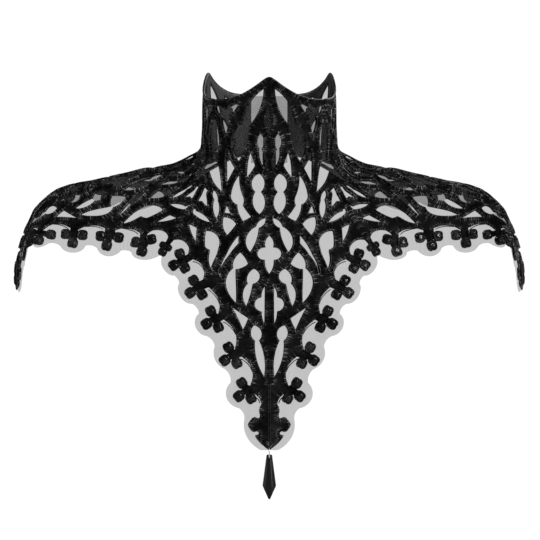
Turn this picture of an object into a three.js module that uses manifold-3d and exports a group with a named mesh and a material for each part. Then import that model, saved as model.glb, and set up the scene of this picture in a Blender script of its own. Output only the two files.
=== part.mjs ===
// Lace neckpiece: a high collar that spreads into a pointed front and two pointed shoulder flaps.
// Millimetres, +Z up, +X to the viewer's right, the wearer faces -Y.
// The origin is on the neck's axis at the height where the neck meets the chest in front.
// The lace is one tracery, drawn once as half a gore and used six times.
// A gore is charted flat: u runs across from its centre line, v runs down from its peak.

import * as THREE from "three";
import { mergeVertices } from "three/addons/utils/BufferGeometryUtils.js";
import Module from "manifold-3d";

// Sizes that drive the piece
const NECK_R = 57;
const HALF_GORE = 54.5;
const SIDE_AZ = 109;
const PEAK_Z = 109;
const CORNER_V = 155;
const CORNER_U = 84;
const BRANCH_V = 168;
const TULLE_T = 1.0;
const LACE_T = 1.1;
const LACE_LIFT = 0.9;
const SEAM_GAP = 0.3;
const TULLE_DROP = 1.4;
const SWELL = 1.05;
const STRIP_V = 72;
const RISE_STEP = 0.4;

// Jump ring and drop
const EYELET_V = 316.2;
const EYELET_R = 1.25;
const RING_R = 5.05;
const RING_WIRE = 0.45;
const RING_SAG = 0.2;
const DROP_SAG = 0.3;
const DROP_W_TOP = 5.3;
const DROP_W = 12;
const DROP_D_TOP = 2.6;
const DROP_D = 6.6;
const DROP_ABOVE_HOLE = 3.0;
const DROP_BELT = 23.5;
const DROP_LEN = 35.2;
const DROP_HOLE_R = 1.3;
const DROP_TABLE = 0.42;

// Back closure
const BACK_AZ = 180;
const PLACKET_W = 12;
const PLACKET_T = 1.6;
const PLACKET_TOP = 24;
const PLACKET_FOOT = 88;
const PLACKET_STEPS = [PLACKET_TOP, 40, 56, 72, PLACKET_FOOT];
const PLACKET_LIFT = 0.5;

// A place on the collar's round, by its angle from the front
const onCollar = (az, r, z) => {
  const a = THREE.MathUtils.degToRad(az);
  return [-r * Math.sin(a), -r * Math.cos(a), z];
};
const REAR_AZ = SIDE_AZ + HALF_GORE;

// Rails of the draped surface. Each row is a place down the rail: [v, [x, y, z]].
const RAILS = {
  front: [
    [0, onCollar(0, 55, PEAK_Z)],
    [60, onCollar(0, NECK_R, 49)],
    [95, onCollar(0, 58, 14)],
    [125, [0, -67, -14]],
    [150, [0, -78, -36]],
    [200, [0, -93, -82]],
    [260, [0, -101, -142]],
    [320, [0, -104.5, -202]],
  ],
  seam: [
    [0, onCollar(HALF_GORE, 56, PEAK_Z)],
    [40, onCollar(HALF_GORE, NECK_R, 69)],
    [72, onCollar(HALF_GORE, 58, 37)],
    [95, [-56, -37, 17]],
    [125, [-69, -47, -7]],
    [CORNER_V, [-85, -57, -31]],
    [BRANCH_V, [-91, -62, -41]],
    [200, [-88, -80, -72]],
    [260, [-90, -94, -132]],
    [320, [-92, -98, -192]],
  ],
  side: [
    [0, onCollar(SIDE_AZ, 56, PEAK_Z + 1)],
    [30, onCollar(SIDE_AZ, NECK_R, 80)],
    [58, onCollar(SIDE_AZ - 3, 58, 53)],
    [80, [-63, 10, 36]],
    [98, [-74, 6, 26.5]],
    [121, [-95, 0, 22]],
    [137, [-113, -5, 21]],
    [153, [-130, -11, 17.5]],
    [172, [-147, -14, 13]],
    [197, [-169, -16, 6.5]],
    [215, [-184.5, -18, 1.5]],
    [238, [-200, -23, -9.5]],
    [259, [-208, -30, -23]],
    [288, [-215.5, -34, -50]],
    [320, [-218, -38, -76]],
  ],
  shoulderFront: [
    [CORNER_V, [-85, -57, -31]],
    [BRANCH_V, [-91, -62, -41]],
    [190, [-122, -58, -52.5]],
    [213, [-150, -60, -62]],
    [243, [-190, -80, -68]],
    [320, [-214, -112, -100]],
  ],
  shoulderRear: [
    [0, onCollar(REAR_AZ, 56, PEAK_Z)],
    [40, onCollar(REAR_AZ, NECK_R, 69)],
    [72, onCollar(REAR_AZ, 58, 38)],
    [95, [-37, 62, 28]],
    [125, [-67, 63, 11]],
    [CORNER_V, [-97, 58, -9]],
    [190, [-135, 50, -19]],
    [215, [-170, 44, -27]],
    [245, [-199, 36, -50]],
    [320, [-212, 28, -106]],
  ],
};

// The way the cloth leaves the side gore's centre line, toward the front: [v, [x, y, z]]
const SIDE_LEAN = [
  [0, [-0.33, -0.94, 0]],
  [58, [-0.25, -0.97, -0.1]],
  [82, [0.1, -0.95, -0.3]],
  [98, [0.24, -0.9, -0.37]],
  [121, [0.18, -0.87, -0.45]],
  [153, [0.1, -0.8, -0.6]],
  [197, [0, -0.72, -0.69]],
  [230, [0, -0.8, -0.6]],
  [262, [0.12, -0.95, -0.3]],
  [290, [0.38, -0.9, -0.2]],
  [320, [0.4, -0.9, -0.2]],
];
// The way it arrives at the shoulder's front edge, past the corner
const FRONT_ARRIVAL = [
  [190, [0.45, -0.35, -0.8]],
  [213, [0.25, -0.5, -0.83]],
  [243, [0, -0.6, -0.8]],
  [320, [0, -0.9, -0.4]],
];
// The way it arrives at the shoulder's rear edge
const REAR_ARRIVAL = [
  [0, [0.96, 0.28, 0]],
  [60, [0.96, 0.28, 0]],
  [95, [0.72, 0.62, -0.3]],
  [125, [0.5, 0.7, -0.5]],
  [160, [0.3, 0.7, -0.65]],
  [200, [0.15, 0.55, -0.82]],
  [320, [0.05, 0.6, -0.8]],
];
// How strongly the rear half swells as it leaves the centre line
const REAR_SWELL = [
  [0, 1.05],
  [70, 1.05],
  [84, 1.45],
  [98, 1.4],
  [114, 0.8],
  [150, 0.6],
  [185, 0.8],
  [210, 1.25],
  [238, 1.45],
  [270, 1.05],
];
// Half width of a gore down its length
const WIDTH = [
  [0, HALF_GORE],
  [72, HALF_GORE + 0.5],
  [CORNER_V, CORNER_U],
  [400, CORNER_U],
];

// Tracery of half a gore. Every opening is a ring of corners [u, v, bow]:
// bow is how far the arc to the next corner swells out of the opening.
const OPENINGS = {
  lancet_tall: [[4.7, 10, 4], [23.5, 40.5, 8], [27, 72, 2.4], [17.3, 42, 3.2]],
  arms_hood: [[27, 22, 0.3], [40.5, 29, 1.1], [52, 25.9, 2], [44.4, 33, 1], [40.3, 50, 1], [36.3, 33, 1.6]],
  pair_slim: [[7.3, 48, 2.5], [8.7, 61, 2.1], [3.5, 78, 2.1], [6.4, 61.5, 2.4]],
  fin: [[16.5, 64, 1], [19.8, 86, 0.3], [12.2, 75.5, 0.6]],
  kite: [[39, 62, 1.2], [38, 92, -0.3], [31.2, 78, -0.6]],
  flame: [
    [26.5, 83, 1.8], [34.2, 103.5, 1.2], [28, 110, 1.2], [22, 124.5, 0.3],
    [15, 120.3, -0.3], [22.6, 110.3, 0.8], [22.4, 103, -1.2],
  ],
  pair_wide: [[8.6, 82, 4.9], [12.3, 98, 4], [8, 118, 4], [7, 98, 3.9]],
  bud: [[51.3, 99.6, 1.4], [50, 108, 2.2], [45.7, 124.5, 2], [45.8, 108.5, 1.6]],
  star: [
    [61, 98.3, -0.6], [56.5, 101, -0.8], [57.8, 106.3, 0.3], [55.7, 115.3, 0.4],
    [61.3, 112.3, -0.3], [66, 113.8, 0.3], [63.4, 106.3, 0.2],
  ],
  chip: [[33.3, 118.5, 0.2], [37.4, 111.3, 0.2], [39, 118.3, 0.2]],
  heart: [[27.6, 127.5, 2], [39.5, 122, 2.4], [34.4, 138, 0.2]],
  fish: [[51, 128.7, 2], [66.2, 122, 1.4], [69.3, 121.6, 1.4], [66.5, 125.9, 0.8]],
  bloom: [[3, 121, 1.7], [11, 128.8, 6], [14.7, 152.5, 1.4], [8.5, 130.5, 1.9]],
  sickle: [[25, 137, 3.2], [36.5, 174, -2.4], [24.3, 145, 0]],
  axe: [[40.3, 148.5, 5.2], [54, 136.5, 0.5], [52.5, 150.5, 0.3], [48.2, 152.6, 1.2], [43.2, 169.5, 0]],
  wedge: [[62.3, 136, 0.3], [70.5, 135, 0.8], [60.7, 148, 0]],
  wing: [[22.8, 152.5, 2.2], [26.6, 167, 6], [25, 197.3, 0.6], [24.3, 168.3, 1], [15.5, 163, 0.8]],
  drop_pair: [[11.3, 167, 2.2], [15.7, 180.3, 3.2], [17.3, 200, 0.5], [11.8, 180.8, 5]],
  half_foil: [[3, 182, 0.8], [6, 192, 5.2], [6, 204.5, 0.6], [3.6, 215.5, 0]],
  shard: [[28.5, 200.5, -0.3], [20, 219.7, 0.3], [15.8, 210, 0]],
  long_pair: [[11.5, 215.7, 2.9], [11, 228.7, 2.3], [3.7, 258.5, 2.2], [7.5, 228.5, 3.8]],
};
// Openings on the centre line, right half of each
const ON_CENTRE = {
  lancet: [[0, 24, 3.3], [0, 48, 0]],
  quatrefoil: [[0, 137, 1.6], [3.2, 147.8, 6], [3.5, 159.5, 1], [0, 172, 0]],
};
// Small openings left whole on the unseen rear half of each shoulder
const FRONT_ONLY = ["arms_hood", "chip", "wedge", "fish", "star", "bud"];

// The collar's upper edge, from the peak to the seam: [u, v]
const TOP_EDGE = [
  [0, -0.5], [5, 2.5], [10, 6.3], [15, 9.6], [20, 12.6], [25, 15],
  [30, 17], [35, 18.5], [40, 19.3], [47, 19.9], [54.5, 20],
];
// The tall opening that each seam halves: [u, v, bow]
const SEAM_OPENING = [[54.5, 35.5, 5.2], [52, 70, 1.4], [42.5, 100, 1.6], [58.2, 83.6, 0]];

// Places down a seam where its edges bend, and where the lace's own edge starts and ends
const SEAM_STEPS = [33, 46, 60, 72, 83, 94, 105, 115, 125, 134, 144];
const SEAM_TOP = 20;
const BACK_SEAM_STEPS = [44, 60, 76];
const UNDER_NOTCH = 90;
const REAR_SEAM_FOOT = 152;
const FRONT_SEAM_FOOT = 161;

// Crockets on the border: joint [u, v], facing in degrees from +u toward +v,
// upper and lower root on the rib, and the bow of the rib's scallop above it
const CROCKETS = [
  { joint: [67.3, 167.3], face: 48, upper: [64.6, 160.8], lower: [59.3, 164.1], bow: 6.5 },
  { joint: [54, 186.7], face: 42, upper: [49.3, 179.9], lower: [45.3, 185.7], bow: 6 },
  { joint: [42, 211], face: 37, upper: [39.3, 207], lower: [35, 211.5], bow: 4.2 },
  { joint: [27.6, 239.8], face: 38, upper: [26.3, 236], lower: [21, 241.5], bow: 5.3 },
  { joint: [17, 269], face: 40, upper: [14.3, 265.5], lower: [11, 272.5], bow: 5.2 },
];
// A crocket's three petals: turn from its facing, reach from the joint, radius
const PETALS = [
  { turn: -97, reach: 7, r: 4.2 },
  { turn: 0, reach: 8.2, r: 4.3 },
  { turn: 79, reach: 8.2, r: 4.2 },
];
const PETAL_OPEN = 115;
const PETAL_POINTS = 4;
// Half of the small crocket at the foot of each front seam, up to the rib: [u, v]
const SEAM_CROCKET = [
  [81.2, 168.8], [81.4, 164.6], [79.4, 163], [79.4, 159], [81.8, 157.6], [81.6, 154.4],
];
const SEAM_CROCKET_FOOT = 170;
// Where the border's first scallop starts, beside the seam: [u, v]
const SEAM_FOOT = [80.5, 153];
// Bow of the last scallop, above the leaf
const LAST_BOW = 1.5;
// Outline of the stem and the leaf at the point: [u, v]
const LEAF = [
  [6, 281], [7.5, 286.5], [6.8, 293], [11, 291.8], [15.3, 298], [11.6, 305.4],
  [7.3, 304.2], [7.4, 307.2], [10.8, 307.2], [5, 316], [0, 320],
];
// The net's scalloped hem: [u, v, bow]
const HEM = [
  [84, 171.5, 0.1], [83.8, 177.3, 3], [73, 182.4, -1.2], [69.6, 187.6, 6.3], [60.3, 201.5, -1.5],
  [54.7, 208.5, 6.5], [48, 226, -1.5], [41.5, 234, 4], [33, 252, -1.5], [28.7, 263, 6.5],
  [22, 284.5, -1.3], [18.3, 294, 3.5], [9, 318, 0.8], [0, 321.6, 0],
];

// Smooth table lookup through rows [v, value or [x, y, z]]
function along(rows, v) {
  const n = rows.length;
  const q = Math.min(Math.max(v, rows[0][0]), rows[n - 1][0]);
  let i = 0;
  while (i < n - 2 && q > rows[i + 1][0]) i += 1;
  const h = rows[i + 1][0] - rows[i][0];
  const t = (q - rows[i][0]) / h;
  const step = (k, c) => (rows[k + 1][1][c] - rows[k][1][c]) / (rows[k + 1][0] - rows[k][0]);
  const slope = (k, c) => {
    if (k === 0) return step(0, c);
    if (k === n - 1) return step(n - 2, c);
    const a = rows[k][0] - rows[k - 1][0];
    const b = rows[k + 1][0] - rows[k][0];
    return (b * step(k - 1, c) + a * step(k, c)) / (a + b);
  };
  const t2 = t * t;
  const t3 = t2 * t;
  return [0, 1, 2].map((c) =>
    (2 * t3 - 3 * t2 + 1) * rows[i][1][c] + (t3 - 2 * t2 + t) * h * slope(i, c)
    + (3 * t2 - 2 * t3) * rows[i + 1][1][c] + (t3 - t2) * h * slope(i + 1, c));
}
function level(rows, v) {
  const n = rows.length;
  if (v <= rows[0][0]) return rows[0][1];
  for (let i = 0; i < n - 1; i += 1) {
    if (v <= rows[i + 1][0]) {
      const t = (v - rows[i][0]) / (rows[i + 1][0] - rows[i][0]);
      const a = rows[i][1];
      const b = rows[i + 1][1];
      return Array.isArray(a) ? a.map((s, k) => s + (b[k] - s) * t) : a + (b - a) * t;
    }
  }
  return rows[n - 1][1];
}
const V3 = (a) => new THREE.Vector3(a[0], a[1], a[2]);

// The way the cloth crosses the front seam, shared by the gores on both sides of it
function acrossSeam(v) {
  const q = Math.min(v, CORNER_V);
  return V3(along(RAILS.side, q)).sub(V3(along(RAILS.front, q))).normalize();
}
function hermite(a, ta, b, tb, t) {
  const t2 = t * t;
  const t3 = t2 * t;
  return a.clone().multiplyScalar(2 * t3 - 3 * t2 + 1)
    .addScaledVector(ta, t3 - 2 * t2 + t)
    .addScaledVector(b, 3 * t2 - 2 * t3)
    .addScaledVector(tb, t3 - t2);
}

// The front gore, u > 0 toward +X
function frontGore(u, v) {
  const a = V3(along(RAILS.front, v));
  const b = V3(along(RAILS.seam, v));
  const m = a.distanceTo(b) * SWELL;
  const leave = new THREE.Vector3(-m, 0, 0);
  const p = hermite(a, leave, b, acrossSeam(v).multiplyScalar(m), Math.abs(u) / level(WIDTH, v));
  if (u > 0) p.x = -p.x;
  return p;
}
// The gore over the wearer's right shoulder, u > 0 toward the front
function shoulderGore(u, v) {
  const a = V3(along(RAILS.side, v));
  const lean = V3(level(SIDE_LEAN, v)).normalize();
  const front = u >= 0;
  const onSeam = v <= BRANCH_V ? RAILS.seam : RAILS.shoulderFront;
  const b = V3(along(front ? onSeam : RAILS.shoulderRear, v));
  const m = a.distanceTo(b) * SWELL;
  let arrive;
  if (!front) {
    arrive = V3(level(REAR_ARRIVAL, v)).normalize();
    lean.multiplyScalar(-level(REAR_SWELL, v) / SWELL);
  } else {
    const c = acrossSeam(v).negate();
    const turn = THREE.MathUtils.clamp((v - BRANCH_V) / (FRONT_ARRIVAL[0][0] - BRANCH_V), 0, 1);
    arrive = c.lerp(V3(level(FRONT_ARRIVAL, v)), turn).normalize();
  }
  return hermite(a, lean.multiplyScalar(m), b, arrive.multiplyScalar(m), Math.abs(u) / level(WIDTH, v));
}
// The back strip between the two shoulder gores, u from the centre back
function backStrip(u, v) {
  const a = V3(along(RAILS.shoulderRear, Math.min(v, STRIP_V)));
  const half = THREE.MathUtils.radToDeg(Math.atan2(-a.x, a.y));
  return V3(onCollar(
    BACK_AZ - (u * half) / (BACK_AZ - REAR_AZ), Math.hypot(a.x, a.y), a.z - Math.max(0, v - STRIP_V),
  ));
}

// A point and the outward normal on one of the surfaces
function offsetPoint(surface, u, v, lift) {
  const e = RISE_STEP;
  const p = surface(u, v);
  const du = surface(u + e, v).sub(surface(u - e, v));
  const dv = surface(u, v + e).sub(surface(u, v - e));
  return p.addScaledVector(dv.cross(du).normalize(), lift);
}

// Arc from a to b with a given bow, as points from a up to but not including b
function arc(a, b, bow, side, pitch) {
  const c = Math.hypot(b[0] - a[0], b[1] - a[1]);
  const n = Math.max(1, Math.round(c / pitch), Math.ceil(Math.sqrt(Math.abs(bow) / ARC_ERROR)));
  const out = [];
  const nx = ((b[1] - a[1]) / c) * side;
  const ny = (-(b[0] - a[0]) / c) * side;
  const s = Math.abs(bow);
  const r = s > 0.01 ? (c * c / 4 + s * s) / (2 * s) : 0;
  const half = 2 * Math.atan2(2 * s, c);
  for (let k = 0; k < n; k += 1) {
    if (r === 0) {
      out.push([a[0] + ((b[0] - a[0]) * k) / n, a[1] + ((b[1] - a[1]) * k) / n]);
    } else {
      const th = -half + (2 * half * k) / n;
      const f = 0.5 + (r * Math.sin(th)) / c;
      const y = (r * Math.cos(th) - (r - s)) * Math.sign(bow);
      out.push([a[0] + (b[0] - a[0]) * f + nx * y, a[1] + (b[1] - a[1]) * f + ny * y]);
    }
  }
  return out;
}
function signedArea(pts) {
  return pts.reduce((s, p, i) => {
    const q = pts[(i + 1) % pts.length];
    return s + p[0] * q[1] - q[0] * p[1];
  }, 0) / 2;
}
function ring(corners, pitch) {
  const side = signedArea(corners) > 0 ? 1 : -1;
  return corners.flatMap((c, i) => arc(c, corners[(i + 1) % corners.length], c[2], side, pitch));
}
function openRun(corners, side, pitch) {
  const out = [];
  for (let i = 0; i < corners.length - 1; i += 1) {
    out.push(...arc(corners[i], corners[i + 1], corners[i][2] || 0, side, pitch));
  }
  out.push(corners[corners.length - 1].slice(0, 2));
  return out;
}
const mirrorU = (pts) => pts.map(([u, v]) => [-u, v]).reverse();

// Lower edge of the lace, from the rib at the seam's foot to the point
function lowerEdge(pitch, petalSides) {
  const pts = [];
  let from = SEAM_FOOT;
  for (const c of CROCKETS) {
    pts.push(...arc(from, c.upper, c.bow, -1, pitch), c.upper);
    for (const p of PETALS) {
      const a = THREE.MathUtils.degToRad(c.face + p.turn);
      const cu = c.joint[0] + p.reach * Math.cos(a);
      const cv = c.joint[1] + p.reach * Math.sin(a);
      for (let k = 0; k < petalSides; k += 1) {
        const w = a + THREE.MathUtils.degToRad(-PETAL_OPEN + (2 * PETAL_OPEN * k) / (petalSides - 1));
        pts.push([cu + p.r * Math.cos(w), cv + p.r * Math.sin(w)]);
      }
    }
    pts.push(c.lower);
    from = c.lower;
  }
  pts.push(...arc(from, LEAF[0], LAST_BOW, -1, pitch).slice(1));
  pts.push(...LEAF);
  return pts;
}
// Outline of half the lace: peak, upper edge, seam with its half opening, border, point
function laceHalf(inset, pitch, cut) {
  const at = (v) => level(WIDTH, v) - inset;
  const top = TOP_EDGE.slice(0, -1).map((p) => [p[0], p[1]]);
  top.push([at(SEAM_TOP), SEAM_TOP]);
  const notch = SEAM_OPENING.map((p) => p.slice());
  notch[0][0] = at(notch[0][1]);
  notch[3][0] = at(notch[3][1]);
  const onSeam = (v) => [at(v), v];
  const seam = cut ? openRun(notch, -1, pitch) : BACK_SEAM_STEPS.map(onSeam);
  seam.push(...SEAM_STEPS.filter((v) => v > UNDER_NOTCH && v < REAR_SEAM_FOOT).map(onSeam));
  if (cut) seam.push(onSeam(FRONT_SEAM_FOOT), onSeam(SEAM_CROCKET_FOOT), ...SEAM_CROCKET);
  else seam.push(onSeam(REAR_SEAM_FOOT));
  return [...top, ...seam, ...lowerEdge(pitch, PETAL_POINTS)];
}
// Outline of half the net
function netHalf(inset, pitch) {
  const at = (v) => level(WIDTH, v) - inset;
  const top = TOP_EDGE.filter((p) => p[0] < 50).map((p) => [p[0], p[1] + TULLE_DROP]);
  top.push([at(SEAM_TOP + TULLE_DROP), SEAM_TOP + TULLE_DROP]);
  const seam = [...SEAM_STEPS, CORNER_V].map((v) => [at(v), v]);
  const hem = HEM.map((p) => p.slice());
  hem[0][0] = at(hem[0][1]);
  return [...top, ...seam, ...openRun(hem, 1, pitch)];
}
function whole(half, otherHalf) {
  const left = mirrorU(otherHalf || half);
  const a = half.slice(0, -1);
  const b = left.slice(0, -1);
  return [...a, ...b];
}
function holesFor(names, pitch) {
  return names.map((k) => ring(OPENINGS[k], pitch));
}
function centreHoles(pitch) {
  return Object.values(ON_CENTRE).map((c) => {
    const half = c.slice(0, -1).flatMap((p, i) => arc(p, c[i + 1], p[2], 1, pitch));
    const end = c[c.length - 1].slice(0, 2);
    return [...half, end, ...mirrorU(half).slice(0, -1)];
  });
}
function roundHole(u, v, r, sides) {
  return Array.from({ length: sides }, (_, k) => {
    const a = (2 * Math.PI * k) / sides;
    return [u + r * Math.cos(a), v + r * Math.sin(a)];
  });
}

// Triangles of a charted outline with holes, evened out so that they follow the drape
function meshChart(contour, holes, longest) {
  const ccw = signedArea(contour) > 0 ? contour : contour.slice().reverse();
  const cut = holes.map((h) => (signedArea(h) < 0 ? h : h.slice().reverse()));
  const toV2 = (l) => l.map((p) => new THREE.Vector2(p[0], p[1]));
  const pts = [ccw, ...cut].flat().map((p) => [p[0], p[1]]);
  let tris = THREE.ShapeUtils.triangulateShape(toV2(ccw), cut.map(toV2)).map((t) => t.slice());
  const cross = (a, b, c) =>
    (pts[b][0] - pts[a][0]) * (pts[c][1] - pts[a][1]) - (pts[b][1] - pts[a][1]) * (pts[c][0] - pts[a][0]);
  const facing = tris.reduce((sum, t) => sum + cross(t[0], t[1], t[2]), 0);
  if (facing < 0) tris = tris.map((t) => [t[0], t[2], t[1]]);
  const inCircle = (a, b, c, d) => {
    const m = [a, b, c].map((k) => {
      const x = pts[k][0] - pts[d][0];
      const y = pts[k][1] - pts[d][1];
      return [x, y, x * x + y * y];
    });
    return m[0][0] * (m[1][1] * m[2][2] - m[1][2] * m[2][1])
      - m[0][1] * (m[1][0] * m[2][2] - m[1][2] * m[2][0])
      + m[0][2] * (m[1][0] * m[2][1] - m[1][1] * m[2][0]);
  };
  const flips = () => {
    for (let pass = 0; pass < 40; pass += 1) {
      const edges = new Map();
      let changed = 0;
      const touched = new Set();
      tris.forEach((t, i) => {
        for (let k = 0; k < 3; k += 1) edges.set(`${t[k]},${t[(k + 1) % 3]}`, [i, t[(k + 2) % 3]]);
      });
      for (const [key, [i, c]] of edges) {
        const [a, b] = key.split(",").map(Number);
        const other = edges.get(`${b},${a}`);
        if (!other || a > b) continue;
        const [j, d] = other;
        if (touched.has(i) || touched.has(j)) continue;
        if (inCircle(a, b, c, d) <= 1e-7) continue;
        if (cross(a, d, c) <= 1e-6 || cross(d, b, c) <= 1e-6) continue;
        tris[i] = [a, d, c];
        tris[j] = [d, b, c];
        touched.add(i);
        touched.add(j);
        changed += 1;
      }
      if (!changed) return;
    }
  };
  flips();
  for (let round = 0; round < 8; round += 1) {
    const edges = new Map();
    tris.forEach((t, i) => {
      for (let k = 0; k < 3; k += 1) edges.set(`${t[k]},${t[(k + 1) % 3]}`, [i, t[(k + 2) % 3]]);
    });
    const long = [];
    for (const [key] of edges) {
      const [a, b] = key.split(",").map(Number);
      if (a > b || !edges.has(`${b},${a}`)) continue;
      const l = Math.hypot(pts[a][0] - pts[b][0], pts[a][1] - pts[b][1]);
      const allowed = longest((pts[a][0] + pts[b][0]) / 2, (pts[a][1] + pts[b][1]) / 2);
      if (l > allowed) long.push([l / allowed, a, b]);
    }
    if (!long.length) break;
    long.sort((x, y) => y[0] - x[0]);
    const used = new Set();
    for (const [, a, b] of long) {
      const [i, c] = edges.get(`${a},${b}`);
      const [j, d] = edges.get(`${b},${a}`);
      if (used.has(i) || used.has(j)) continue;
      used.add(i);
      used.add(j);
      const m = pts.push([(pts[a][0] + pts[b][0]) / 2, (pts[a][1] + pts[b][1]) / 2]) - 1;
      tris[i] = [a, m, c];
      tris[j] = [b, m, d];
      tris.push([m, b, c], [m, a, d]);
    }
    flips();
  }
  return { pts, tris };
}

// A cloth wall: the chart laid on the surface between two lifts, closed round its edges
function clothWall(name, material, surface, chart, low, high, mirrored) {
  const { pts, tris } = chart;
  const n = pts.length;
  const position = [];
  for (const lift of [high, low]) {
    for (const [u, v] of pts) {
      const p = offsetPoint(surface, u, v, lift);
      position.push(mirrored ? -p.x : p.x, p.y, p.z);
    }
  }
  const index = [];
  const add = (a, b, c) => (mirrored ? index.push(a, b, c) : index.push(a, c, b));
  const edges = new Map();
  for (const [a, b, c] of tris) {
    add(a, b, c);
    add(a + n, c + n, b + n);
    for (const [p, q] of [[a, b], [b, c], [c, a]]) edges.set(`${p},${q}`, [p, q]);
  }
  for (const [p, q] of edges.values()) {
    if (edges.has(`${q},${p}`)) continue;
    add(q, p, p + n);
    add(q, p + n, q + n);
  }
  const g = new THREE.BufferGeometry();
  g.setAttribute("position", new THREE.Float32BufferAttribute(position, 3));
  g.setIndex(index);
  g.computeVertexNormals();
  const mesh = new THREE.Mesh(g, material);
  mesh.name = name;
  return mesh;
}

const cloth = (color, roughness) => new THREE.MeshStandardMaterial({ color, roughness, metalness: 0 });
const laceBlack = cloth(0x121213, 0.62);
const netGrey = cloth(0x4a4a4d, 0.85);
const stone = new THREE.MeshStandardMaterial({ color: 0x08080a, roughness: 0.08, metalness: 0 });
const steel = new THREE.MeshStandardMaterial({ color: 0xb9bbbd, roughness: 0.28, metalness: 1 });

// How closely the arcs are followed, and how long a chord may be
const ARC_ERROR = 0.8;
const ARC_PITCH = 16;
const NET_PITCH = 14;
// How long an edge inside a panel may be before it is split: short where the neck runs into the shoulder
const BACK_LONGEST = 17;
const netFront = (u, v) => (v < 170 ? 21 : 34);
const netSide = (u, v) => {
  if (v < 55) return 19;
  if (v < 112) return 12.5;
  if (v < 150) return 17;
  if (v < 225 && u > 35) return 14;
  return v < 270 ? 21 : 28;
};
const laceFront = (u, v) => (v < 120 ? 20 : 26);
const laceSide = (u, v) => {
  if (v > 55 && v < 112) return u < 0 ? 11.5 : 12.5;
  return v > 205 && v < 265 ? 14 : 20;
};

const part = new THREE.Group();
const half = SEAM_GAP / 2;
const allNames = Object.keys(OPENINGS);
const rearNames = allNames.filter((k) => !FRONT_ONLY.includes(k));
const eyelet = roundHole(0, EYELET_V, EYELET_R, 8);

// Front gore
const frontLaceHalf = laceHalf(half, ARC_PITCH, true);
const oneSide = holesFor(allNames, ARC_PITCH);
const frontLace = meshChart(
  whole(frontLaceHalf),
  [...oneSide, ...oneSide.map(mirrorU), ...centreHoles(ARC_PITCH), eyelet],
  laceFront,
);
const frontNet = meshChart(whole(netHalf(half, NET_PITCH)), [eyelet], netFront);
part.add(clothWall("front_net", netGrey, frontGore, frontNet, -TULLE_T, 0, false));
part.add(clothWall("front_lace", laceBlack, frontGore, frontLace, LACE_LIFT, LACE_LIFT + LACE_T, false));

// Shoulder gores, the left one mirrored from the right
const sideLaceHalf = laceHalf(half, ARC_PITCH, true);
const rearLaceHalf = laceHalf(half, ARC_PITCH, false);
const sideLace = meshChart(
  whole(sideLaceHalf, rearLaceHalf),
  [...oneSide, ...holesFor(rearNames, ARC_PITCH).map(mirrorU), ...centreHoles(ARC_PITCH)],
  laceSide,
);
const sideNet = meshChart(whole(netHalf(half, NET_PITCH)), [], netSide);
for (const [side, mirrored] of [["right", false], ["left", true]]) {
  part.add(clothWall(`${side}_shoulder_net`, netGrey, shoulderGore, sideNet, -TULLE_T, 0, mirrored));
  part.add(clothWall(
    `${side}_shoulder_lace`, laceBlack, shoulderGore, sideLace, LACE_LIFT, LACE_LIFT + LACE_T, mirrored,
  ));
}

// Plain strip that closes the collar at the back
const backHalf = BACK_AZ - REAR_AZ - half;
const strip = [SEAM_TOP + TULLE_DROP, ...SEAM_STEPS.filter((v) => v < UNDER_NOTCH)];
const stripRing = [
  ...strip.map((v) => [backHalf, v]),
  ...strip.slice().reverse().map((v) => [-backHalf, v]),
];
part.add(clothWall(
  "back_net", netGrey, backStrip, meshChart(stripRing, [], () => BACK_LONGEST), -TULLE_T, 0, false,
));
const placketRing = [
  ...PLACKET_STEPS.map((v) => [PLACKET_W / 2, v]),
  ...PLACKET_STEPS.slice().reverse().map((v) => [-PLACKET_W / 2, v]),
];
part.add(clothWall(
  "back_closure", laceBlack, backStrip, meshChart(placketRing, [], () => PLACKET_W),
  PLACKET_LIFT, PLACKET_LIFT + PLACKET_T, false,
));

// Jump ring through the point of the lace, its plane front to back
const eye = offsetPoint(frontGore, 0, EYELET_V, (LACE_LIFT + LACE_T - TULLE_T) / 2);
const ringCentre = [0, eye.y, eye.z - RING_SAG - RING_R];
const torus = new THREE.TorusGeometry(RING_R, RING_WIRE, 5, 12);
torus.rotateY(Math.PI / 2);
torus.translate(...ringCentre);
const jump = new THREE.Mesh(torus, steel);
jump.name = "jump_ring";
part.add(jump);

// Faceted drop: a six-sided section with a flat table front and back, drawn to a point
function dropSection(z, w, d) {
  const t = DROP_TABLE * w;
  return [[w / 2, 0], [t / 2, d / 2], [-t / 2, d / 2], [-w / 2, 0], [-t / 2, -d / 2], [t / 2, -d / 2]]
    .map(([x, y]) => [x, y, z]);
}
function dropBody() {
  const rows = [
    dropSection(DROP_ABOVE_HOLE, DROP_W_TOP, DROP_D_TOP),
    dropSection(-DROP_BELT, DROP_W, DROP_D),
  ];
  const position = [...rows.flat(), [0, 0, DROP_ABOVE_HOLE], [0, 0, -DROP_LEN]].flat();
  const index = [];
  for (let k = 0; k < 6; k += 1) {
    const j = (k + 1) % 6;
    index.push(12, k, j, k, 6 + k, 6 + j, k, 6 + j, j, 6 + k, 13, 6 + j);
  }
  const g = new THREE.BufferGeometry();
  g.setAttribute("position", new THREE.Float32BufferAttribute(position, 3));
  g.setIndex(index);
  return g;
}
const wasm = await Module();
wasm.setup();
function toManifold(source) {
  const g = source.clone();
  g.deleteAttribute("normal");
  g.deleteAttribute("uv");
  const m = mergeVertices(g, 1e-4);
  return new wasm.Manifold(new wasm.Mesh({
    numProp: 3,
    vertProperties: new Float32Array(m.attributes.position.array),
    triVerts: new Uint32Array(m.index.array),
  }));
}
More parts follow.
